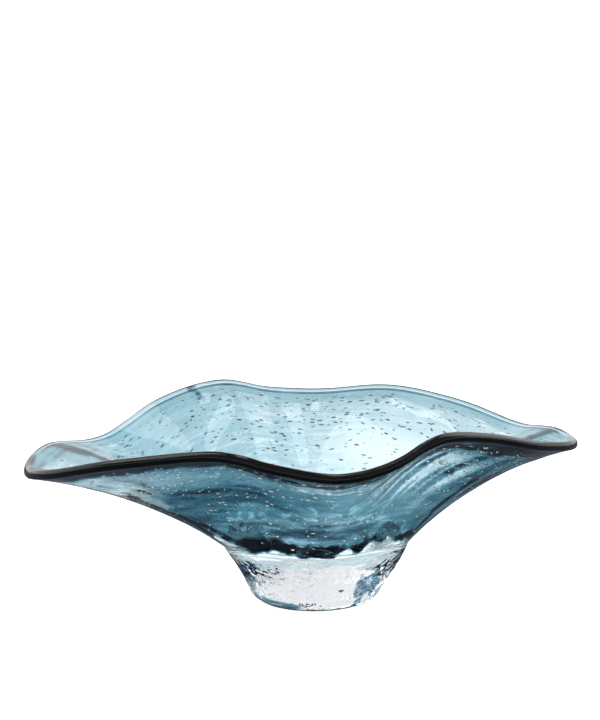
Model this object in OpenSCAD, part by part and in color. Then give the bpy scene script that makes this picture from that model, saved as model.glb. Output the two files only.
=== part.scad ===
// Freeform art glass bowl, hot-worked from separate gathers of glass.
// A clear first gather lines the bowl, a blue gather lies over it, and a clear
// gather cases both, with seed bubbles trapped in it. A solid clear foot is gathered
// under the casing, and the fire-polished lip closes the edges of the three layers.
// Origin: centre of the polished flat under the foot. +Z up, +X to the longer side's right tip.

/* [Foot] */
// Radius of the ground and polished flat that the bowl stands on
flat_r = 44; // [38:1:46]
// Radius of the foot just above its rounded lower edge
foot_r = 50; // [48:1:54]
// Depth of the tooled hollows round the foot
foot_hollow = 1.4; // [0:0.1:2]

/* [Bowl] */
// Radius of the colour seam where the flare leaves the bottom of the bowl
waist_r = 73.5; // [70:0.5:78]
// Height of the colour seam at that waist
waist_z = 52.5; // [49:0.5:56]
// Height of the colour seam at the centre of the bowl
floor_z = 48; // [44:1:48]
// How strongly the rim is ruffled, from a level oval to the full wave
ruffle = 1; // [0:0.05:1]
// Number of seed bubbles trapped in the clear casing
seed_count = 60; // [0:5:80]
// Middle radius of the seed bubbles
seed_r = 0.9; // [0.5:0.1:0.9]

/* [Glass] */
// Thickness of the clear lining
lining_t = 1; // [0.8:0.1:1.6]
// Thickness of the blue colour layer
colour_t = 2.2; // [1.6:0.1:3]
// Thickness of the clear casing at the lip
casing_lip_t = 3.2; // [2.6:0.1:4]
// Thickness of the clear casing over the foot
casing_foot_t = 6; // [4:0.5:8]
// Radius of the fire-polished lip
lip_r = 3.9; // [3.8:0.1:4.6]

/* [Hidden] */

// The lip's centre line: angle in degrees from +X towards +Y, reach from the axis, height.
rim_stations = [
    [0, 207, 128], [12, 202, 130], [25, 192, 127], [45, 177, 140], [65, 164, 149], [88, 161, 144],
    [104, 163, 146], [120, 168, 154], [138, 181, 141], [153, 203, 114], [170, 222, 117], [188, 226, 112],
    [205, 220, 121], [225, 201, 138], [247, 178, 148], [262, 168, 138], [276, 166, 132], [289, 166, 139],
    [303, 164, 155], [320, 167, 151], [340, 185, 137]
];
level_z = 135;       // height of a rim with no ruffle
flare_out = 0.43;    // where the flare's bend lies between waist and lip, outwards
flare_up = 0.73;     // and upwards
waist_t = 0.3;       // share of the wall's run that lies inside the waist
around = 64;         // facets round the bowl
floor_rows = 4;      // rows of facets from the centre to the waist
flare_rows = 9;      // rows of facets from the waist to the lip
lip_sides = 10;      // facets over the lip
foot_rows = 8;       // rows of facets up the foot
foot_lean = 1.2;     // how far the foot swells to the right, as a share of its hollows
seed_turn = 137.5;   // degrees from one seed bubble to the next
seed_from = 0.4;     // share of the wall's run where the seeds start
seed_run = 0.55;     // share of the wall's run that they cover
seed_spread = 0.3;   // how much the largest and smallest seeds differ from the middle one

rows = floor_rows + flare_rows;
wall_lip_t = lining_t + colour_t + casing_lip_t;

// ---- rim line -------------------------------------------------------------

function station(i) =
    let (n = len(rim_stations), s = rim_stations[(i + n) % n])
    [s[0] + 360 * floor(i / n), s[1], level_z + ruffle * (s[2] - level_z)];

// Index of the last station at or before an angle from 0 to 360.
function station_before(angle, i = 0) =
    i + 1 < len(rim_stations) && rim_stations[i + 1][0] <= angle ? station_before(angle, i + 1) : i;

// Reach and height of the rim at an angle: a cubic through the stations, closed round the bowl.
function rim(angle) =
    let (i = station_before(angle),
         a = station(i - 1), b = station(i), c = station(i + 1), d = station(i + 2),
         run = c[0] - b[0], s = (angle - b[0]) / run,
         slope_b = (c - a) * run / (c[0] - a[0]),
         slope_c = (d - b) * run / (d[0] - b[0]),
         p = b * (2 * s^3 - 3 * s^2 + 1) + slope_b * (s^3 - 2 * s^2 + s)
           + c * (3 * s^2 - 2 * s^3) + slope_c * (s^3 - s^2))
    [p[1], p[2]];

// ---- wall, as [radius, height] in the half-plane at one angle ---------------

function bend(edge) = [waist_r + flare_out * (edge[0] - waist_r), waist_z + flare_up * (edge[1] - waist_z)];

// Bend of the bowl's floor, on the flare's own tangent, so that the wall has no crease at the waist.
function floor_bend(edge) =
    let (b = bend(edge), rise = waist_z - floor_z)
    [waist_r - rise * (b[0] - waist_r) / (b[1] - waist_z), floor_z];

function arc_point(a, b, c, s) = a * (1 - s)^2 + b * 2 * s * (1 - s) + c * s^2;
function arc_slope(a, b, c, s) = (b - a) * (1 - s) + (c - b) * s;

function seam(t, edge) = t < waist_t
    ? arc_point([0, floor_z], floor_bend(edge), [waist_r, waist_z], t / waist_t)
    : arc_point([waist_r, waist_z], bend(edge), edge, (t - waist_t) / (1 - waist_t));

function along(t, edge) =
    let (v = t < waist_t
        ? arc_slope([0, floor_z], floor_bend(edge), [waist_r, waist_z], t / waist_t)
        : arc_slope([waist_r, waist_z], bend(edge), edge, (t - waist_t) / (1 - waist_t)))
    v / norm(v);

// Depth of each surface from the colour seam, towards the inside of the bowl.
function casing_depth(t) = -casing_lip_t - (casing_foot_t - casing_lip_t) * (1 - t)^1.5;
function colour_depth(t) = colour_t * (1 + 0.3 * (1 - t));
function inside_depth(t) = colour_depth(t) + lining_t * (1 + 0.8 * (1 - t));

function wall_point(t, angle, depth) =
    let (edge = rim(angle), v = along(t, edge), p = seam(t, edge) + depth * [-v[1], v[0]])
    [p[0] * cos(angle), p[0] * sin(angle), p[1]];

function row_t(i) = i < floor_rows
    ? waist_t * i / floor_rows
    : waist_t + (1 - waist_t) * (i - floor_rows) / flare_rows;

function ring_angle(k) = 360 * k / around;

// ---- closed skins from rings of points --------------------------------------

// Faces of a closed body: a point, then rings of "around" points, then a point.
function pole_faces(rings) = concat(
    [for (k = [0 : around - 1]) [0, 1 + (k + 1) % around, 1 + k]],
    [for (r = [0 : rings - 2], k = [0 : around - 1])
        let (a = 1 + r * around, b = a + around, m = (k + 1) % around)
        each [[a + k, a + m, b + m], [a + k, b + m, b + k]]],
    [for (k = [0 : around - 1])
        let (a = 1 + (rings - 1) * around) [a + k, a + (k + 1) % around, 1 + rings * around]]);

// Faces of a closed ring: cross sections of "sides" points, one after another round the bowl.
function ring_faces(sides) =
    [for (k = [0 : around - 1], j = [0 : sides - 1])
        let (a = k * sides, b = ((k + 1) % around) * sides, m = (j + 1) % sides)
        each [[a + j, a + m, b + m], [a + j, b + m, b + j]]];

// One layer of the wall, from the centre of the bowl out to the lip.
// low and high give the depth of its under and upper surfaces at each row.
module layer(low, high) {
    points = concat(
        [wall_point(0, 0, low[0])],
        [for (i = [1 : rows], k = [0 : around - 1]) wall_point(row_t(i), ring_angle(k), low[i])],
        [for (i = [rows : -1 : 1], k = [0 : around - 1]) wall_point(row_t(i), ring_angle(k), high[i])],
        [wall_point(0, 0, high[0])]);
    polyhedron(points, pole_faces(2 * rows), convexity = 6);
}

function depths(kind) = [for (i = [0 : rows])
    kind == "casing" ? casing_depth(row_t(i)) :
    kind == "colour" ? colour_depth(row_t(i)) :
    kind == "inside" ? inside_depth(row_t(i)) : 0];

// ---- sub-parts --------------------------------------------------------------

module clear_lining() {
    color([0.86, 0.95, 0.97, 0.45]) layer(depths("colour"), depths("inside"));
}

module blue_colour_layer() {
    color([0.12, 0.42, 0.55, 0.75]) layer(depths("seam"), depths("colour"));
}

// Bubbles caught half-way through the casing, spread by an even spiral.
module seeds() {
    for (i = [0 : seed_count - 1])
        let (turned = seed_turn * i, angle = turned - 360 * floor(turned / 360),
             t = seed_from + seed_run * sqrt((i + 0.5) / seed_count))
        translate(wall_point(t, angle, casing_depth(t) / 2))
            sphere(r = seed_r * (1 + seed_spread * sin(97 * i)), $fn = 24);
}

module clear_casing() {
    color([0.80, 0.92, 0.96, 0.45]) difference() {
        layer(depths("casing"), depths("seam"));
        if (seed_count > 0) seeds();
    }
}

// The wall's edge, drawn up by the flame into a bead a little thicker than the wall.
module fire_polished_lip() {
    half = wall_lip_t / 2;
    middle = inside_depth(1) - half;
    lead = sqrt(lip_r^2 - half^2);
    turn = 180 - asin(half / lip_r);
    seams = [-casing_lip_t, 0, colour_depth(1), inside_depth(1)];
    points = [for (k = [0 : around - 1])
        let (angle = ring_angle(k), edge = rim(angle), v = along(1, edge), n = [-v[1], v[0]])
        each concat(
            [for (j = [0 : lip_sides])
                let (a = -turn + 2 * turn * j / lip_sides,
                     p = edge + middle * n + (lead + lip_r * cos(a)) * v + lip_r * sin(a) * n)
                [p[0] * cos(angle), p[0] * sin(angle), p[1]]],
            [for (j = [2, 1]) wall_point(1, angle, seams[j])])];
    color([0.05, 0.13, 0.20, 0.85])
        polyhedron(points, ring_faces(lip_sides + 3), convexity = 6);
}

// Depth of the tooled hollows at an angle and a share of the foot's height.
function hollow(angle, s) =
    foot_hollow * sqrt(sin(180 * s))
    * (0.45 * sin(5 * angle + 200 * s) + 0.35 * sin(8 * angle - 260 * s + 40) + foot_lean * cos(angle));

function foot_point(row, angle) =
    let (joint = wall_point(waist_t, angle, casing_depth(waist_t)),
         joint_r = norm([joint[0], joint[1]]),
         s = row / foot_rows, z = joint[2] * s,
         edge_round = (foot_r - flat_r) * max(0, 1 - z / 6)^2,
         r = row == 0 ? flat_r : foot_r + (joint_r - foot_r) * s^1.15 - edge_round + hollow(angle, s))
    [r * cos(angle), r * sin(angle), z];

module clear_foot() {
    points = concat(
        [[0, 0, 0]],
        [for (row = [0 : foot_rows - 1], k = [0 : around - 1]) foot_point(row, ring_angle(k))],
        [for (i = [floor_rows : -1 : 1], k = [0 : around - 1])
            wall_point(row_t(i), ring_angle(k), casing_depth(row_t(i)))],
        [wall_point(0, 0, casing_depth(0))]);
    color([0.93, 0.97, 1.0, 0.4]) polyhedron(points, pole_faces(foot_rows + floor_rows), convexity = 6);
}

clear_lining();
blue_colour_layer();
clear_casing();
fire_polished_lip();
clear_foot();
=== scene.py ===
"""Freeform art glass bowl: a clear lining, a blue colour layer and a clear seeded casing,
closed by a fire-polished lip and standing on a solid clear foot.

The wall is described once, by angle, run and depth, and each gather of glass is wrapped round in
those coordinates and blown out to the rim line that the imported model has."""
import math
import random

import bmesh
import bpy
from mathutils import Matrix, Vector, noise


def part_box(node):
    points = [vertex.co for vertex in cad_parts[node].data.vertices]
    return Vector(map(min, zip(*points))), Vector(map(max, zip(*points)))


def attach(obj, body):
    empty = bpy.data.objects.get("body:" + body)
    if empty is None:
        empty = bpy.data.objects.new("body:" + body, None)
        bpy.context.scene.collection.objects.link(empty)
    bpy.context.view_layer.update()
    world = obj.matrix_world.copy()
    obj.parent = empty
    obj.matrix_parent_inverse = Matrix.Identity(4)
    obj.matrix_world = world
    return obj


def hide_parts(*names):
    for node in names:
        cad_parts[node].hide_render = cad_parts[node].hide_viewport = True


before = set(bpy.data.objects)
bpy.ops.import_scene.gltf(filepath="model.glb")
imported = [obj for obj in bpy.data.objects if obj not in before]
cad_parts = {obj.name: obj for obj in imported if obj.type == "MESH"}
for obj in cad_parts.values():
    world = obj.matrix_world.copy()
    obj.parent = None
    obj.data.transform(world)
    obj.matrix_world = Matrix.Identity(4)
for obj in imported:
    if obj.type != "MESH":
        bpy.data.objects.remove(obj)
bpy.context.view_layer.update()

bl_info = {
    "name": "Art glass bowl",
    "version": (1, 0, 0),
    "blender": (4, 5, 0),
    "location": "3D View > Sidebar > Bowl",
    "description": "Builds a ruffled bowl of cased blue glass on a clear foot",
    "category": "Add Mesh",
}

MM = 0.001
BODY = "root"
AROUND = 340  # steps round the bowl
CAD_FACETS = 64           # facets round the CAD's wall
WAIST_RUN = 0.3           # share of the wall's run that lies inside the waist
TORN_FROM, TORN_TO = 0.2, WAIST_RUN + 0.12  # the runs between which the rows lie closest
FLARE_OUT = 0.43          # where the flare's bend lies between waist and lip, outwards
FLARE_UP = 0.73           # and upwards
FOOT_ROUND = 6 * MM       # height of the rounded lower edge of the foot
FOOT_HOLLOW = 1.4 * MM    # depth of the tooled hollows round the foot
LIP_SWELL = 0.45 * MM     # how much each face of the wall swells to meet the lip
FUSED_GAP = 0.05 * MM     # the colour layer stops this far short of its neighbours
GLASS_IOR = 1.5
FUSED_IOR = 1.0           # no surface shows where two gathers have melted together
LEVEL_STIR = 0.05         # how far smoke patches wander along the run
RIM_MARK = (128.1, 0.6)   # where the hot back rim was nicked, and half the nick's width, in degrees

# How far along the wall's run these start.
TORN_RUN = 0.322          # the colour, at its torn lower edge
DARK_BAND_RUN = 0.36      # the end of the band of painted shade above that edge, at the front
TEAL_RUN = 0.7            # painted light: the paler teal at the front left, where light from behind the bowl shows through
UNDER_LIP_RUN = 0.905     # the band of painted shade under the front of the lip

# How much each of these adds to the smoke or takes away. BASE, LIP and FLAME belong to the glass's own
# colour; FRONT, UNDER_LIP and DARK_BAND add painted shade, and TEAL takes it away as painted light.
BASE_SMOKE, FRONT_PAINTED_SHADE, LIP_SMOKE = 0.13, 0.19, 0.08
UNDER_LIP_PAINTED_SHADE, DARK_BAND_PAINTED_SHADE = 0.68, 0.62
TEAL_PAINTED_LIGHT, FLAME_LIFT = 0.3, 0.8

# Patches on the wall: amount, then the centre and width in degrees round the bowl,
# then the centre and width along the run. The paler ones have a negative amount. Some are the glass's own
# smoke, the marked ones painted shade and painted light.
STEADY_PATCHES = (
    (0.1, 165, 30, 0.8, 0.4),      # back left
    (-0.05, 50, 35, 0.6, 0.3),     # back right, where the light comes through
    (0.08, 182, 16, 0.95, 0.2),    # left tip
    (0.12, 2, 16, 0.95, 0.2),      # right tip
    (0.3, 270, 34, 0.43, 0.09),    # painted shade low at the front
    (0.6, *RIM_MARK, 0.98, 0.06))
# At the front the glass's own mottled smoke is deepened by painted shade; the last patch is paler.
WANDERING_PATCHES = (
    (0.4, 324, 22, 0.84, 0.15),    # right lobe
    (0.14, 220, 18, 0.52, 0.1),    # left flank
    (0.36, 240, 22, 0.68, 0.08),   # left of the middle
    (-0.04, 300, 20, 0.6, 0.12))   # right of the middle
TORN_PATCHES = (
    (0.6, 283, 32, 0.95, 0.07),    # painted shade under the lip
    (-0.14, 268, 24, 0.82, 0.025))
FOOT_BLUE_PATCHES = (                    # the same, along the foot's height
    (1, 207, 16, 0.6, 0.25), (1.2, 315, 14, 0.42, 0.28), (0.6, 300, 14, 0.08, 0.05))
FOOT_EDGE_BLUE_PATCH = (230, 34, 0.1, 0.1)

# Tints of the glass from clear to the thickest smoke, as (smoke, colour it lets pass). On the wall, the lip
# and the seeds the smoke also holds painted shade and painted light.
BLUE_TINTS = ((0.0, (0.95, 0.98, 0.985)), (0.14, (0.335, 0.48, 0.535)), (0.28, (0.235, 0.40, 0.455)),
              (0.46, (0.125, 0.265, 0.325)), (0.62, (0.062, 0.14, 0.185)), (0.8, (0.026, 0.034, 0.046)),
              (1.0, (0.006, 0.007, 0.010)))
LIP_TINTS = ((0.0, (0.85, 0.93, 0.95)), (0.35, (0.30, 0.44, 0.50)), (0.62, (0.06, 0.08, 0.11)),
             (0.8, (0.014, 0.055, 0.09)), (1.0, (0.16, 0.10, 0.07)))
# Seeds go from white to the dark of the painted shade given to seeds at the back of the bowl.
SEED_TINTS = ((0.0, (1.0, 1.0, 1.0)), (1.0, (0.16, 0.22, 0.26)))
FOOT_TINTS = ((0.0, (0.97, 0.98, 1.0)), (0.45, (0.86, 0.90, 0.95)), (0.6, (0.25, 0.42, 0.54)),
              (1.0, (0.010, 0.045, 0.085)))


# ---- sizes and colours -------------------------------------------------------

class BowlSizes(bpy.types.PropertyGroup):
    """Sizes of the gathers of glass"""
    waist_radius: bpy.props.FloatProperty(
        name="Waist radius", description="Radius of the colour seam where the flare starts",
        default=73.5 * MM, min=0.07, max=0.078, unit="LENGTH")
    waist_height: bpy.props.FloatProperty(
        name="Waist height", description="Height of the colour seam at the waist",
        default=52.5 * MM, min=0.049, max=0.056, unit="LENGTH")
    floor_height: bpy.props.FloatProperty(
        name="Floor height", description="Height of the colour seam at the centre of the bowl",
        default=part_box("blue_colour_layer")[0].z, min=0.044, max=0.049, unit="LENGTH")
    lining: bpy.props.FloatProperty(
        name="Lining", description="Thickness of the clear lining",
        default=1.0 * MM, min=0.0008, max=0.0016, unit="LENGTH")
    colour: bpy.props.FloatProperty(
        name="Colour layer", description="Thickness of the blue colour layer",
        default=2.2 * MM, min=0.0016, max=0.003, unit="LENGTH")
    casing_lip: bpy.props.FloatProperty(
        name="Casing at the lip", description="Thickness of the clear casing at the lip",
        default=3.2 * MM, min=0.0026, max=0.004, unit="LENGTH")
    casing_foot: bpy.props.FloatProperty(
        name="Casing at the foot", description="Thickness of the clear casing over the foot",
        default=6.0 * MM, min=0.004, max=0.008, unit="LENGTH")
    lip_radius: bpy.props.FloatProperty(
        name="Lip radius", description="Radius of the fire-polished lip",
        default=3.9 * MM, min=0.0038, max=0.0046, unit="LENGTH")
    foot_radius: bpy.props.FloatProperty(
        name="Foot radius", description="Radius of the foot above its rounded lower edge",
        default=50.0 * MM, min=0.048, max=0.054, unit="LENGTH")
    flat_radius: bpy.props.FloatProperty(
        name="Flat radius", description="Radius of the polished flat under the foot",
        default=44.0 * MM, min=0.038, max=0.046, unit="LENGTH")
    seeds: bpy.props.IntProperty(
        name="Seeds", description="Number of bubbles trapped in the casing",
        default=1600, min=0, max=1700)
    seed_length: bpy.props.FloatProperty(
        name="Seed length", description="Length of a middling seed along the wall",
        default=3.0 * MM, min=0.001, max=0.005, unit="LENGTH")


class BowlColours(bpy.types.PropertyGroup):
    """Colours of the glass and of the floor it stands on"""
    blue: bpy.props.FloatVectorProperty(
        name="Blue", description="Colour that a long way through the blue glass lets pass",
        subtype="COLOR", size=3, min=0, max=1, default=(0.3, 0.72, 0.82))
    strength: bpy.props.FloatProperty(
        name="Blue strength", description="How fast the blue glass takes light away, per metre",
        default=85.0, min=0, max=1000)
    clear: bpy.props.FloatVectorProperty(
        name="Clear", description="Faint tint of the clear glass",
        subtype="COLOR", size=3, min=0, max=1, default=(0.985, 0.995, 1.0))
    floor: bpy.props.FloatVectorProperty(
        name="Floor", description="Colour of the table top",
        subtype="COLOR", size=3, min=0, max=1, default=(0.86, 0.87, 0.88))


def sizes():
    return bpy.context.scene.bowl_sizes


def colours():
    return bpy.context.scene.bowl_colours


# ---- the wall: angle round the bowl, run from centre to lip, depth from the seam --

def outermost_ring(node):
    """(radius, height) of the outermost corner of a CAD node at each of its angles, in order."""
    ring = [(0, 0)] * CAD_FACETS
    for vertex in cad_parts[node].data.vertices:
        x, y, z = vertex.co
        i = round(math.atan2(y, x) / math.tau * CAD_FACETS) % CAD_FACETS
        ring[i] = max(ring[i], (math.hypot(x, y), z))
    return [Vector(corner) for corner in ring]


RIM = outermost_ring("blue_colour_layer")


def rim(angle):
    """Radius and height of the seam's outer edge at an angle, smooth between the CAD's corners."""
    place = (angle / math.tau) % 1 * len(RIM)
    i = int(place)
    s = place - i
    a, b, c, d = (RIM[(i + k) % len(RIM)] for k in (-1, 0, 1, 2))
    return b + 0.5 * s * (c - a + s * (2 * a - 5 * b + 4 * c - d + s * (3 * (b - c) + d - a)))


def curve(a, b, c, s):
    """Point and direction on the curve from a to c that bends at b."""
    return (a * (1 - s) ** 2 + b * 2 * s * (1 - s) + c * s * s,
            (b - a) * (1 - s) + (c - b) * s)


def wall_point(angle, run, depth):
    """A point of the wall. Depth counts from the colour seam towards the inside."""
    size = sizes()
    edge = rim(angle)
    waist = Vector((size.waist_radius, size.waist_height))
    bend = Vector((waist.x + FLARE_OUT * (edge.x - waist.x), waist.y + FLARE_UP * (edge.y - waist.y)))
    if run < WAIST_RUN:
        rise = waist.y - size.floor_height
        floor_bend = Vector((waist.x - rise * (bend.x - waist.x) / (bend.y - waist.y),
                             size.floor_height))
        place, along = curve(Vector((0, size.floor_height)), floor_bend, waist, run / WAIST_RUN)
    else:
        place, along = curve(waist, bend, edge, (run - WAIST_RUN) / (1 - WAIST_RUN))
    along.normalize()
    radius = place.x - depth * along.y
    return Vector((radius * math.cos(angle), radius * math.sin(angle), place.y + depth * along.x))


def fade(value, start, end):
    """0 at start, 1 at end, smooth between."""
    s = min(1, max(0, (value - start) / (end - start)))
    return s * s * (3 - 2 * s)


def ripple(angle, run, fine, twist=0.0):
    """Smooth noise in wall coordinates, closed round the bowl and at its centre.
    fine is (round, along)."""
    turned = angle + twist * run
    spread = fine[0] * min(1, run / 0.15)
    return noise.noise(Vector((spread * math.cos(turned), spread * math.sin(turned), fine[1] * run)))


def streak(angle, run):
    """0 where the colour is thick, to 1 where it was drawn out thin, in bands round the bowl."""
    wander = run + 0.05 * ripple(angle, run, (1.6, 2.0)) + 0.02 * ripple(angle, run, (5, 6))
    broad = ripple(angle, wander, (1.3, 9), 1.2)
    narrow = ripple(angle + 0.7, wander, (2.2, 26), 0.8)
    return fade(broad + 0.7 * narrow, 0.05, 0.55)


def blot(angle, run, at, wide, level, tall):
    """A soft patch on the wall: at and wide in degrees round, level and tall along the run."""
    return column(angle, at, wide) * bell(run, level, tall)


def column(angle, at, wide):
    """A soft patch that reaches the whole way from the foot to the lip."""
    return bell((math.degrees(angle) - at + 180) % 360 - 180, 0, wide)


def bell(value, centre, wide):
    return math.exp(-((value - centre) / wide) ** 2)


def patched(angle, along, patches):
    """The sum of a table of patches at one place."""
    return sum(amount * blot(angle, along, *patch) for amount, *patch in patches)


def wall_smoke_and_painted_light(angle, run):
    """How dark the colour is: its own smoke, pale at the back of the bowl, with painted shade on the front,
    which faces the camera, darkest under the lip, above the torn edge and in patches, and painted light
    making the front left paler.
    """
    facing = -math.sin(angle)
    front = fade(facing, 0.12, 0.55)
    torn = run + 0.03 * ripple(angle, run, (4, 6)) + 0.02 * ripple(angle, run, (13, 11))
    level = run + LEVEL_STIR * ripple(angle, run, (3, 3))
    shade = UNDER_LIP_RUN + 0.05 * column(angle, 196, 24)
    under_lip = fade(torn, shade, shade + 0.025)
    past_band = fade(torn + 0.015 * column(angle, 318, 14), DARK_BAND_RUN, DARK_BAND_RUN + 0.025)
    # painted shade: the side towards the camera is darkened, most under the lip and above the torn edge
    smoke = BASE_SMOKE + LIP_SMOKE * fade(run, 0.88, 1.0) + FRONT_PAINTED_SHADE * front
    smoke += UNDER_LIP_PAINTED_SHADE * fade(facing, -0.05, 0.3) * under_lip
    smoke += DARK_BAND_PAINTED_SHADE * front * (1 - past_band)
    smoke += patched(angle, run, STEADY_PATCHES)
    smoke += patched(angle, level, WANDERING_PATCHES) + patched(angle, torn, TORN_PATCHES)
    # painted light: the front left is made paler teal where light from behind the bowl shows through
    teal_from = TEAL_RUN - 0.2 * column(angle, 198, 16)
    teal = fade(torn, teal_from, teal_from + 0.03) * (1 - under_lip)
    smoke -= TEAL_PAINTED_LIGHT * column(angle, 212, 38) * teal
    smoke -= FLAME_LIFT * blot(angle, run, 316, 24, 0.78, 0.18) * flames(angle, run)
    edge = torn_edge(angle, run)
    return min(1, max(0, smoke * fade(run, edge, edge + 0.01)))


def flames(angle, run):
    """1 in the pale tongues that sweep up the right lobe, 0 between them."""
    swept = run - 1.3 * (angle - math.radians(318))
    return fade(noise.noise(Vector((1.5 * math.cos(angle), 1.5 * math.sin(angle), 9 * swept))), -0.1, -0.05)


def torn_edge(angle, run):
    """The run at which the colour's lower edge lies: higher at the sides of the foot, with one
    tongue hanging down at the front."""
    return TORN_RUN + 0.05 * ripple(angle, run, (6, 4)) + 0.02 * ripple(angle, run, (13, 9)) \
        - 0.03 * column(angle, 276, 9) + 0.05 * column(angle, 210, 12) + 0.05 * column(angle, 326, 13)


def lip_smoke_and_painted_light(angle, share):
    """The lip is nearly black at the front, towards the camera: painted shade. It turns
    brown on its top towards the longer side. A painted highlight lightens it on the front, and at the back
    a thin line of painted shade runs along its top, beside the rim's nick. share goes round the bead from
    the outside."""
    front = fade(-math.sin(angle), -0.12, 0.1)
    brown = 0.35 * bell(share, 0.52, 0.16) + 0.65 * column(angle, 314, 26)
    # painted highlight: a paler streak along the front of the lip
    painted_gleam = 0.42 * blot(angle, share, 254, 15, 0.62, 0.06)
    # painted shade: a thin dark line along the top of the lip at the back; the rim's nick is the glass's
    # own
    back = 0.25 * bell(share, 0.56, 0.1) + 0.5 * column(angle, *RIM_MARK)
    # painted shade: the front of the lip, towards the camera, is made nearly black
    return min(1, 0.34 + (1 - front) * back + front * (0.46 + 0.2 * brown - painted_gleam))


def foot_smoke(angle, share):
    """The foot's glass is tinted blue in patches down its sides and round its left edge."""
    wander = share + 0.25 * ripple(angle, share, (5, 4))
    smoke = patched(angle, wander, FOOT_BLUE_PATCHES) + blot(angle, share, *FOOT_EDGE_BLUE_PATCH)
    return 0.25 + 0.75 * fade(smoke, 0.35, 0.6)


def casing_face(angle, run):
    """Depth of the casing's outer face. It ripples between the foot and the lip."""
    size = sizes()
    plain = size.casing_lip + (size.casing_foot - size.casing_lip) * (1 - run) ** 1.5
    free = fade(run, WAIST_RUN, WAIST_RUN + 0.08) * (1 - fade(run, 0.9, 0.99))
    wave = 0.45 * MM * ripple(angle, run, (3.5, 5)) + 0.22 * MM * ripple(angle, run, (9, 20))
    return -plain - free * wave - LIP_SWELL * fade(run, 0.75, 1)


def seam_face(angle, run):
    """Depth of the seam between the casing and the colour."""
    free = 1 - fade(run, 0.93, 1.0)
    return free * 0.35 * MM * (ripple(angle, run, (6, 10)) + 0.2)


def colour_face(angle, run):
    """Depth of the colour's inner face: the colour is nearly gone beyond its torn edge."""
    thick = sizes().colour * (1 + 0.3 * (1 - run))
    free = 1 - fade(run, 0.93, 1.0)
    edge = torn_edge(angle, run)
    return thick * (1 - 0.7 * free * streak(angle, run)) * (0.1 + 0.9 * fade(run, edge - 0.03, edge + 0.02))


def inside_face(angle, run):
    """Depth of the bowl's inside."""
    size = sizes()
    return size.colour * (1 + 0.3 * (1 - run)) + size.lining * (1 + 0.8 * (1 - run)) \
        + LIP_SWELL * fade(run, 0.75, 1)


# ---- meshes --------------------------------------------------------------------

def wall_rows():
    """Shares of the run from the centre of the bowl to the lip, closest round the torn edge."""
    stages = ((0, TORN_FROM, 6), (TORN_FROM, WAIST_RUN, 12), (WAIST_RUN, TORN_TO, 14), (TORN_TO, 1, 44))
    return [start + (end - start) * i / rows for start, end, rows in stages for i in range(rows)] + [1]


def wrap(bm, rows, place, material, run_of, smoke):
    """Wraps a grid once round the bowl: place(angle, row) puts its corners, material(row)
    gives the faces from that row to the next, and smoke(angle, row) how dark the glass is.
    The UV map is the share of a turn and run_of(row). Seam and poles are closed."""
    uv = bm.loops.layers.uv.new("wall")
    smoky = bm.verts.layers.float.new("smoke")
    bmesh.ops.create_grid(bm, x_segments=AROUND, y_segments=rows - 1, size=1)
    row_of = {v: round((v.co.y + 1) / 2 * (rows - 1)) for v in bm.verts}
    turn_of = {v: (v.co.x + 1) / 2 for v in bm.verts}
    for face in bm.faces:
        face.material_index = material(min(row_of[v] for v in face.verts))
        for loop in face.loops:
            loop[uv].uv = (turn_of[loop.vert], run_of(row_of[loop.vert]))
    for vert, row in row_of.items():
        angle = turn_of[vert] % 1 * math.tau
        vert.co = place(angle, row)
        vert[smoky] = smoke(angle, row)
    bmesh.ops.remove_doubles(bm, verts=bm.verts, dist=0.001 * MM)
    bmesh.ops.recalc_face_normals(bm, faces=bm.faces)


def wall_layer(bm, low, high, low_material, high_material):
    """One closed gather of the wall between two faces, each a depth by angle and run."""
    runs = wall_rows()
    runs = runs + runs[::-1]
    half = len(runs) // 2

    def place(angle, row):
        face = low if row < half else high
        return wall_point(angle, runs[row], face(angle, runs[row]))

    def material(row):
        return low_material if row < half - 1 else 0 if row == half - 1 else high_material
    wrap(bm, len(runs), place, material, lambda row: runs[row],
         lambda angle, row: wall_smoke_and_painted_light(angle, runs[row]))


def bubble_shape():
    """Corners and faces of a round bubble, facing into the void."""
    bm = bmesh.new()
    bmesh.ops.create_uvsphere(bm, u_segments=7, v_segments=5, radius=1)
    bmesh.ops.reverse_faces(bm, faces=bm.faces)
    shape = [v.co.copy() for v in bm.verts], [[v.index for v in f.verts] for f in bm.faces]
    bm.free()
    return shape


def add_void(bm, shape, place, axes, half, material, dark):
    """A closed bubble in the glass, with its half lengths along three directions."""
    corners, faces = shape
    turn = Matrix(axes).transposed()
    verts = [bm.verts.new(place + turn @ Vector(c * h for c, h in zip(corner, half)))
             for corner in corners]
    for vert in verts:
        vert[bm.verts.layers.float["smoke"]] = dark
    for face in faces:
        bm.faces.new([verts[i] for i in face]).material_index = material


def finish_piece(bm, name, node, materials):
    """Makes the piece's object, hangs it under the bowl's body and hides the CAD node that it replaces."""
    mesh = bpy.data.meshes.new(name)
    for material in materials:
        mesh.materials.append(material)
    for face in bm.faces:
        face.smooth = True
    for edge in bm.edges:
        if len({f.material_index for f in edge.link_faces}) > 1:
            edge.smooth = False
    bm.to_mesh(mesh)
    bm.free()
    piece = bpy.data.objects.new(name, mesh)
    bpy.context.scene.collection.objects.link(piece)
    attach(piece, BODY)
    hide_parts(node)


# ---- materials -------------------------------------------------------------------

def new_glass(name, ior):
    material = bpy.data.materials.new(name)
    material.use_nodes = True
    shader = material.node_tree.nodes["Principled BSDF"]
    shader.inputs["Transmission Weight"].default_value = 1
    shader.inputs["IOR"].default_value = ior
    shader.inputs["Roughness"].default_value = 0
    return material, shader


def fused_face():
    """Where two gathers have melted together there is no surface to see."""
    material, shader = new_glass("fused_glass", FUSED_IOR)
    shader.inputs["Base Color"].default_value = (1, 1, 1, 1)
    return material


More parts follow.
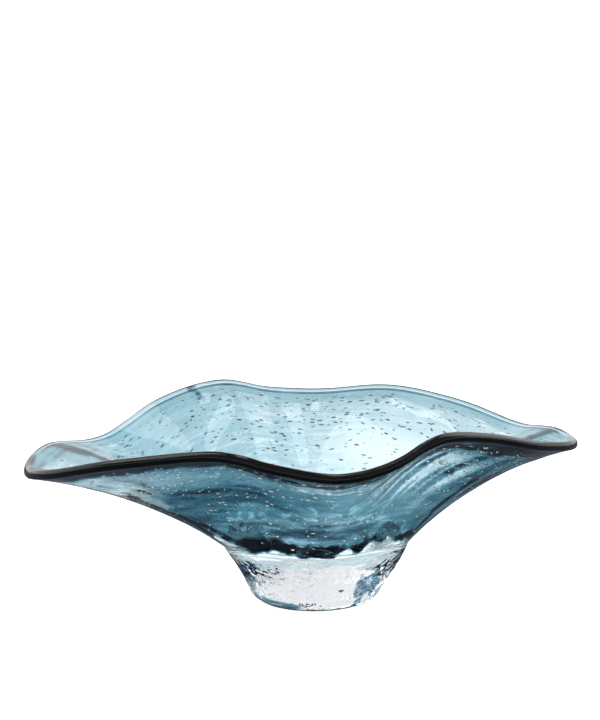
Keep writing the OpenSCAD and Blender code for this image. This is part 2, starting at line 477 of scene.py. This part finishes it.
def clear_glass(name, tint, bump_scale, bump_depth):
    """Clear glass with a faint uneven tint and the soft ripples of hot working."""
    material, shader = new_glass(name, GLASS_IOR)
    nodes, links = material.node_tree.nodes, material.node_tree.links
    place = nodes.new("ShaderNodeTexCoord")
    cloud = nodes.new("ShaderNodeTexNoise")
    cloud.inputs["Scale"].default_value = 18
    cloud.inputs["Detail"].default_value = 2
    ramp = nodes.new("ShaderNodeValToRGB")
    ramp.color_ramp.elements[0].position = 0.35
    ramp.color_ramp.elements[0].color = (*[0.97 * c for c in tint], 1)
    ramp.color_ramp.elements[1].position = 0.65
    ramp.color_ramp.elements[1].color = (*tint, 1)
    links.new(place.outputs["Object"], cloud.inputs["Vector"])
    links.new(cloud.outputs["Fac"], ramp.inputs["Fac"])
    links.new(ramp.outputs["Color"], shader.inputs["Base Color"])
    cord = nodes.new("ShaderNodeTexNoise")
    cord.inputs["Scale"].default_value = bump_scale
    cord.inputs["Detail"].default_value = 1.5
    bump = nodes.new("ShaderNodeBump")
    bump.inputs["Strength"].default_value = 1
    bump.inputs["Distance"].default_value = bump_depth
    links.new(place.outputs["Object"], cord.inputs["Vector"])
    links.new(cord.outputs["Fac"], bump.inputs["Height"])
    links.new(bump.outputs["Normal"], shader.inputs["Normal"])
    return material


def smoky_glass(name, ior, tints, streaks=(3.5, 36), stir=0.0, lines=0.0):
    """Glass whose tint goes along a row of colours with the piece's smoke, stirred into
    streaks round the bowl and crossed by thin pale lines. streaks is (round, along).
    Glass with hardly any smoke is left unstirred."""
    material, shader = new_glass(name, ior)
    nodes, links = material.node_tree.nodes, material.node_tree.links

    def math_node(operation, *values):
        node = nodes.new("ShaderNodeMath")
        node.operation = operation
        for socket, value in zip(node.inputs, values):
            if isinstance(value, bpy.types.NodeSocket):
                links.new(value, socket)
            else:
                socket.default_value = value
        return node.outputs[0]

    wall = nodes.new("ShaderNodeUVMap")
    wall.uv_map = "wall"
    parts = nodes.new("ShaderNodeSeparateXYZ")
    links.new(wall.outputs["UV"], parts.inputs["Vector"])
    turned = math_node("MULTIPLY", parts.outputs["X"], math.tau)
    ring = nodes.new("ShaderNodeCombineXYZ")
    links.new(math_node("MULTIPLY", math_node("COSINE", turned), streaks[0]), ring.inputs["X"])
    links.new(math_node("MULTIPLY", math_node("SINE", turned), streaks[0]), ring.inputs["Y"])
    links.new(math_node("MULTIPLY", parts.outputs["Y"], streaks[1]), ring.inputs["Z"])
    swirl = nodes.new("ShaderNodeTexNoise")
    swirl.inputs["Scale"].default_value = 1
    swirl.inputs["Detail"].default_value = 3
    swirl.inputs["Roughness"].default_value = 0.55
    swirl.inputs["Distortion"].default_value = 0.5
    links.new(ring.outputs["Vector"], swirl.inputs["Vector"])
    smoke = nodes.new("ShaderNodeAttribute")
    smoke.attribute_name = "smoke"
    lift = math_node("MULTIPLY", math_node("SUBTRACT", swirl.outputs["Fac"], 0.5), stir)
    if lines:
        thread = nodes.new("ShaderNodeTexNoise")
        thread.inputs["Scale"].default_value = 0.7
        thread.inputs["Detail"].default_value = 2
        thread.inputs["Distortion"].default_value = 0.3
        links.new(ring.outputs["Vector"], thread.inputs["Vector"])
        off = math_node("ABSOLUTE", math_node("SUBTRACT", thread.outputs["Fac"], 0.5))
        line = math_node("MAXIMUM", math_node("SUBTRACT", 1.0, math_node("MULTIPLY", off, 60.0)), 0.0)
        lift = math_node("SUBTRACT", lift, math_node("MULTIPLY", line, lines))
    lift = math_node("MULTIPLY", lift, math_node("SUBTRACT", smoke.outputs["Fac"], 0.08))
    ramp = nodes.new("ShaderNodeValToRGB")
    while len(ramp.color_ramp.elements) < len(tints):
        ramp.color_ramp.elements.new(0.5)
    for element, (at, tint) in zip(ramp.color_ramp.elements, tints):
        element.position = at
        element.color = (*tint, 1)
    links.new(math_node("ADD", smoke.outputs["Fac"], lift), ramp.inputs["Fac"])
    links.new(ramp.outputs["Color"], shader.inputs["Base Color"])
    return material, shader


def pearl_glass():
    """The silvery skin of a bubble that catches the light."""
    material, shader = smoky_glass("pearl_seed", GLASS_IOR, SEED_TINTS)
    shader.inputs["Transmission Weight"].default_value = 0
    shader.inputs["Metallic"].default_value = 1
    shader.inputs["Roughness"].default_value = 0.15
    return material


def blue_glass(name):
    """The colour layer: it takes light away along its depth, and its faces are fused."""
    material = smoky_glass(name, FUSED_IOR, BLUE_TINTS, (3.0, 34), stir=2.8, lines=0.6)[0]
    nodes, links = material.node_tree.nodes, material.node_tree.links
    depth = nodes.new("ShaderNodeVolumeAbsorption")
    depth.inputs["Color"].default_value = (*colours().blue, 1)
    depth.inputs["Density"].default_value = colours().strength
    links.new(depth.outputs["Volume"], nodes["Material Output"].inputs["Volume"])
    return material


# ---- pieces ------------------------------------------------------------------------

class BOWL_OT_lining(bpy.types.Operator):
    """Make the clear lining, the inside skin of the bowl"""
    bl_idname = "bowl.lining"
    bl_label = "Clear lining"

    def execute(self, context):
        bm = bmesh.new()
        wall_layer(bm, colour_face, inside_face, 0, 1)
        clear = clear_glass("lining_glass", colours().clear, 40, 0.1 * MM)
        finish_piece(bm, "clear_lining_glass", "clear_lining", [fused_face(), clear])
        return {"FINISHED"}


class BOWL_OT_colour(bpy.types.Operator):
    """Make the blue colour layer"""
    bl_idname = "bowl.colour"
    bl_label = "Blue colour layer"

    def execute(self, context):
        def low(angle, run):
            return seam_face(angle, run) + FUSED_GAP

        def high(angle, run):
            return max(low(angle, run) + 2 * FUSED_GAP, colour_face(angle, run) - FUSED_GAP)
        bm = bmesh.new()
        wall_layer(bm, low, high, 0, 0)
        finish_piece(bm, "blue_colour_glass", "blue_colour_layer",
                     [blue_glass("blue_colour")])
        return {"FINISHED"}


class BOWL_OT_casing(bpy.types.Operator):
    """Make the clear casing with the seeds trapped in it"""
    bl_idname = "bowl.casing"
    bl_label = "Clear casing and seeds"
    FUSED, AIR, DARK_SEED, PEARL_SEED = range(4)  # its materials, in order

    def execute(self, context):
        bm = bmesh.new()
        wall_layer(bm, casing_face, seam_face, self.AIR, self.FUSED)
        for face in bm.faces:
            if face.material_index == self.AIR and self.over_foot(face.calc_center_median()):
                face.material_index = self.FUSED
        draw = random.Random(11)
        shape = bubble_shape()
        for _ in range(sizes().seeds):
            self.seed(bm, shape, draw)
        clear = clear_glass("casing_glass", colours().clear, 30, 0.15 * MM)
        dark_seed = smoky_glass("seed_glass", GLASS_IOR, SEED_TINTS)[0]
        finish_piece(bm, "clear_casing_glass", "clear_casing",
                     [fused_face(), clear, dark_seed, pearl_glass()])
        return {"FINISHED"}

    def over_foot(self, place):
        """Whether a place under the casing lies inside its joint with the foot."""
        angle = math.atan2(place.y, place.x)
        joint = wall_point(angle, WAIST_RUN, casing_face(angle, WAIST_RUN))
        return math.hypot(place.x, place.y) < math.hypot(joint.x, joint.y)

    def seed(self, bm, shape, draw):
        """A seed lies just outside the seam, drawn out round the bowl."""
        angle = draw.uniform(0, math.tau)
        run = WAIST_RUN + 0.02 + (0.94 - WAIST_RUN) * math.sqrt(draw.random())
        size = sizes().seed_length / 2 * draw.uniform(0.45, 1.35) ** 1.3
        half = (size * draw.uniform(1, 1.4), size * draw.uniform(0.3, 0.5), size * draw.uniform(0.3, 0.45))
        depth = min(0, seam_face(angle, run)) - half[2] - draw.uniform(0.2, 0.9) * MM
        place = wall_point(angle, run, depth)
        outward = (wall_point(angle, run, depth - MM) - place).normalized()
        round_ = (wall_point(angle + 0.01, run, depth) - place).normalized()
        round_ = (round_ + outward.cross(round_) * draw.gauss(0, 0.2)).normalized()
        # painted shade: seeds at the back of the bowl are tinted dark; most of those at the front get the
        # silvery skin
        back = fade(math.sin(angle), -0.1, 0.2)
        material = self.DARK_SEED if back > 0.5 or draw.random() < 0.3 else self.PEARL_SEED
        add_void(bm, shape, place, (round_, outward.cross(round_), outward), half,
                 material, back * draw.uniform(0.4, 1))


class BOWL_OT_lip(bpy.types.Operator):
    """Make the fire-polished lip"""
    bl_idname = "bowl.lip"
    bl_label = "Fire-polished lip"

    def execute(self, context):
        size = sizes()
        low, high = casing_face(0, 1), inside_face(0, 1)
        half = (high - low) / 2
        middle = (high + low) / 2
        thick = size.lip_radius
        reach = 0.8 * thick   # length of the neck, and again of the bead beyond it
        neck_steps, bead_steps = 6, 10
        neck = [(reach * i / neck_steps, half + (thick - half) * fade(i, 0, neck_steps))
                for i in range(neck_steps)]
        turns = [math.pi / 2 * j / bead_steps for j in range(bead_steps, 0, -1)]
        bead = [(reach * (1 + math.cos(turn)), thick * math.sin(turn)) for turn in turns]
        side = neck + bead
        arc = [(out, -up) for out, up in side] + [(2 * reach, 0)] + side[::-1]
        seams = [high * 0.66, high * 0.33, low * 0.5]

        def place(angle, row):
            row %= len(arc) + len(seams)
            if row >= len(arc):
                return beyond_edge(angle, 0, seams[row - len(arc)])
            out, up = arc[row]
            swell = 1 + 0.05 * min(1, out / thick) * ripple(angle, 1, (5, 1))
            return beyond_edge(angle, out * swell, middle + up * swell)
        bm = bmesh.new()
        steps = len(arc) + len(seams)
        wrap(bm, steps + 1, place, lambda row: 1 if row < len(arc) - 1 else 0,
             lambda row: row / steps, lambda angle, row: lip_smoke_and_painted_light(angle, row / (len(arc) - 1)))
        dark = smoky_glass("lip_glass", GLASS_IOR, LIP_TINTS, (3, 8), stir=0.3)[0]
        finish_piece(bm, "fire_polished_lip_glass", "fire_polished_lip", [fused_face(), dark])
        return {"FINISHED"}


def beyond_edge(angle, out, depth):
    """A point beyond the wall's edge, out along the wall from it."""
    here = wall_point(angle, 1, depth)
    back = wall_point(angle, 0.995, depth)
    along = (here - back).normalized()
    return here + along * out


class BOWL_OT_foot(bpy.types.Operator):
    """Make the solid clear foot"""
    bl_idname = "bowl.foot"
    bl_label = "Clear foot"
    # Drops of blue: degrees round the foot, share of its height, smoke, half length in mm.
    BLOBS = ((291, 0.42, 0.9, 1.9), (279, 0.06, 0.9, 2.0), (309, 0.1, 0.8, 2.4), (262, 0.12, 0.7, 1.4))
    BUBBLES = 90

    def execute(self, context):
        size = sizes()
        under, side = 8, 48
        inner = [run for run in wall_rows() if run <= WAIST_RUN]
        top = len(inner) - 1

        def place(angle, row):
            if row <= under:
                share = row / under
                return Vector((math.cos(angle), math.sin(angle), 0)) * size.flat_radius * share
            if row < under + side:
                return foot_side(angle, (row - under) / side)
            run = inner[under + side + top - row]
            return wall_point(angle, run, casing_face(angle, run))
        bm = bmesh.new()
        steps = under + side + top
        wrap(bm, steps + 1, place, lambda row: 1 if row < under + side else 0,
             lambda row: row / steps, lambda angle, row: foot_smoke(angle, (row - under) / side))
        shape = bubble_shape()
        draw = random.Random(5)
        for angle, share, dark, half in self.BLOBS + tuple(
                (draw.uniform(180, 360), draw.uniform(0.08, 0.9), 0.4, draw.uniform(0.3, 0.7))
                for _ in range(self.BUBBLES)):
            self.blob(bm, shape, math.radians(angle), share, dark, half * MM)
        clear = smoky_glass("foot_glass", GLASS_IOR, FOOT_TINTS, (9, 22), stir=1.6)[0]
        finish_piece(bm, "clear_foot_glass", "clear_foot", [fused_face(), clear])
        return {"FINISHED"}

    def blob(self, bm, shape, angle, share, dark, half):
        """A bubble just under the side of the foot, or a drop of blue with more smoke."""
        skin = foot_side(angle, share)
        outward = Vector((skin.x, skin.y, 0)).normalized()
        round_ = outward.cross(Vector((0, 0, 1)))
        place = skin - outward * (half + 1.5 * MM)
        add_void(bm, shape, place, (round_, outward.cross(round_), outward),
                 (1.3 * half, half, 0.7 * half), 1, dark)


def foot_side(angle, share):
    """A point up the side of the foot, from the polished flat to the joint with the casing."""
    size = sizes()
    joint = wall_point(angle, WAIST_RUN, casing_face(angle, WAIST_RUN))
    joint_radius = math.hypot(joint.x, joint.y)
    height = joint.z * share
    rounding = (size.foot_radius - size.flat_radius) * max(0, 1 - height / FOOT_ROUND) ** 2
    free = math.sqrt(math.sin(math.pi * min(1, share)))
    turn = math.degrees(angle)
    hollow = FOOT_HOLLOW * free * (
        0.45 * math.sin(math.radians(5 * turn + 200 * share))
        + 0.35 * math.sin(math.radians(8 * turn - 260 * share + 40))
        + 1.2 * math.cos(angle))
    around = Vector((math.cos(angle), math.sin(angle), 0.8 * share))
    crease = (1 - abs(2 * noise.noise(around * 9))) ** 3
    dimple = free * MM * (1.2 * noise.noise(around * 4) + 0.6 * crease + 0.25 * noise.noise(around * 20))
    radius = size.foot_radius + (joint_radius - size.foot_radius) * share ** 1.15 \
        - rounding + hollow + dimple
    return Vector((radius * math.cos(angle), radius * math.sin(angle), height))


# ---- stage ---------------------------------------------------------------------------

class BOWL_OT_stage(bpy.types.Operator):
    """Set out the table top, the lights and the camera"""
    bl_idname = "bowl.stage"
    bl_label = "Stage"
    # Name, place, width, depth and power of each lamp. All of them face the bowl.
    LAMPS = (("key", (-1.0, -0.4, 1.6), 1.6, 1.6, 16), ("fill", (1.2, 0.5, 1.3), 1.5, 1.5, 10),
             ("window", (-0.04, 0.38, 1.3), 0.07, 0.18, 0.12), ("strip", (0.15, 0.0, 1.3), 0.9, 0.15, 0.9))

    FLOOR_HALF = 60
    MIRRORED_FLOOR = (0.04, 0.05, 0.065, 1)
    AIM = (0, 0, 0.075)
    DISTANCE = 1.4
    RISE = math.radians(12.5)

    def execute(self, context):
        scene = context.scene
        self.floor(scene)
        self.surroundings(scene)
        self.lamps(scene)
        self.camera(scene)
        scene.view_settings.view_transform = "Standard"
        scene.cycles.max_bounces = 64
        scene.cycles.transmission_bounces = 64
        scene.cycles.glossy_bounces = 32
        return {"FINISHED"}

    def floor(self, scene):
        """A pale table top that glows a little, and is dark where the glass mirrors it."""
        bm = bmesh.new()
        bmesh.ops.create_grid(bm, x_segments=1, y_segments=1, size=self.FLOOR_HALF)
        mesh = bpy.data.meshes.new("table_top")
        bm.to_mesh(mesh)
        bm.free()
        floor = bpy.data.objects.new("table_top", mesh)
        scene.collection.objects.link(floor)
        material = bpy.data.materials.new("table_top")
        material.use_nodes = True
        shader = material.node_tree.nodes["Principled BSDF"]
        shader.inputs["Roughness"].default_value = 0.7
        shader.inputs["Emission Strength"].default_value = 0.8
        seen = material.node_tree.nodes.new("ShaderNodeLightPath")
        for key, plain in (("Base Color", colours().floor), ("Emission Color", (1, 1, 1))):
            tone = material.node_tree.nodes.new("ShaderNodeMixRGB")
            tone.inputs["Color1"].default_value = (*plain, 1)
            tone.inputs["Color2"].default_value = self.MIRRORED_FLOOR
            material.node_tree.links.new(seen.outputs["Is Reflection Ray"], tone.inputs["Fac"])
            material.node_tree.links.new(tone.outputs["Color"], shader.inputs[key])
        mesh.materials.append(material)

    def surroundings(self, scene):
        """A white studio, darker overhead and behind the camera so that the lip reads dark."""
        world = bpy.data.worlds.new("studio")
        world.use_nodes = True
        nodes, links = world.node_tree.nodes, world.node_tree.links
        place = nodes.new("ShaderNodeTexCoord")
        way = nodes.new("ShaderNodeSeparateXYZ")
        links.new(place.outputs["Generated"], way.inputs["Vector"])

        def between(value, start, end, low=0.0, high=1.0):
            node = nodes.new("ShaderNodeMapRange")
            node.interpolation_type = "SMOOTHSTEP"
            for key, number in (("From Min", start), ("From Max", end), ("To Min", low), ("To Max", high)):
                node.inputs[key].default_value = number
            links.new(value, node.inputs["Value"])
            return node.outputs["Result"]

        def combine(operation, a, b):
            node = nodes.new("ShaderNodeMath")
            node.operation = operation
            links.new(a, node.inputs[0])
            links.new(b, node.inputs[1])
            return node.outputs[0]
        behind = combine("MULTIPLY", between(way.outputs["Y"], 0.1, -0.3),
                         between(way.outputs["Z"], 0.05, 0.25))
        dark = combine("MAXIMUM", behind, between(way.outputs["Z"], 0.6, 0.85))
        seen = nodes.new("ShaderNodeLightPath")
        level = nodes.new("ShaderNodeMix")
        level.inputs["B"].default_value = 1.05
        links.new(seen.outputs["Is Camera Ray"], level.inputs["Factor"])
        links.new(between(dark, 0, 1, 0.95, 0.25), level.inputs["A"])
        nodes["Background"].inputs["Color"].default_value = (1, 1, 1, 1)
        links.new(level.outputs["Result"], nodes["Background"].inputs["Strength"])
        scene.world = world

    def lamps(self, scene):
        """Two broad soft lamps at the sides, and two small ones for the gleams."""
        for name, place, width, depth, power in self.LAMPS:
            light = bpy.data.lights.new(name, "AREA")
            light.shape = "RECTANGLE"
            light.size = width
            light.size_y = depth
            light.energy = power
            lamp = bpy.data.objects.new(name, light)
            lamp.location = place
            lamp.rotation_euler = (Vector((0, 0, 0.08)) - Vector(place)).to_track_quat("-Z", "Y").to_euler()
            scene.collection.objects.link(lamp)

    def camera(self, scene):
        camera = bpy.data.objects.new("camera", bpy.data.cameras.new("camera"))
        out = Vector((0, -math.cos(self.RISE), math.sin(self.RISE)))
        camera.location = Vector(self.AIM) + self.DISTANCE * out
        camera.rotation_euler = (math.pi / 2 - self.RISE, 0, 0)
        camera.data.lens = 85.85
        camera.data.shift_x = -0.0194
        camera.data.shift_y = 0.2056
        camera.data.clip_start = 0.01
        scene.collection.objects.link(camera)
        scene.camera = camera


PIECES = (BOWL_OT_lining, BOWL_OT_colour, BOWL_OT_casing, BOWL_OT_lip, BOWL_OT_foot)


class BOWL_PT_panel(bpy.types.Panel):
    """Sizes, colours and the steps that make the bowl"""
    bl_idname = "BOWL_PT_panel"
    bl_label = "Art glass bowl"
    bl_space_type = "VIEW_3D"
    bl_region_type = "UI"
    bl_category = "Bowl"

    def draw(self, context):
        for group in (context.scene.bowl_sizes, context.scene.bowl_colours):
            for key in group.__annotations__:
                self.layout.prop(group, key)
        for operator in PIECES + (BOWL_OT_stage,):
            self.layout.operator(operator.bl_idname)


CLASSES = (BowlSizes, BowlColours) + PIECES + (BOWL_OT_stage, BOWL_PT_panel)


def register():
    for cls in CLASSES:
        bpy.utils.register_class(cls)
    bpy.types.Scene.bowl_sizes = bpy.props.PointerProperty(type=BowlSizes)
    bpy.types.Scene.bowl_colours = bpy.props.PointerProperty(type=BowlColours)


def unregister():
    del bpy.types.Scene.bowl_sizes
    del bpy.types.Scene.bowl_colours
    for cls in reversed(CLASSES):
        bpy.utils.unregister_class(cls)


def main():
    register()
    for operator in PIECES + (BOWL_OT_stage,):
        group, name = operator.bl_idname.split(".")
        getattr(getattr(bpy.ops, group), name)()


if __name__ == "__main__":
    main()
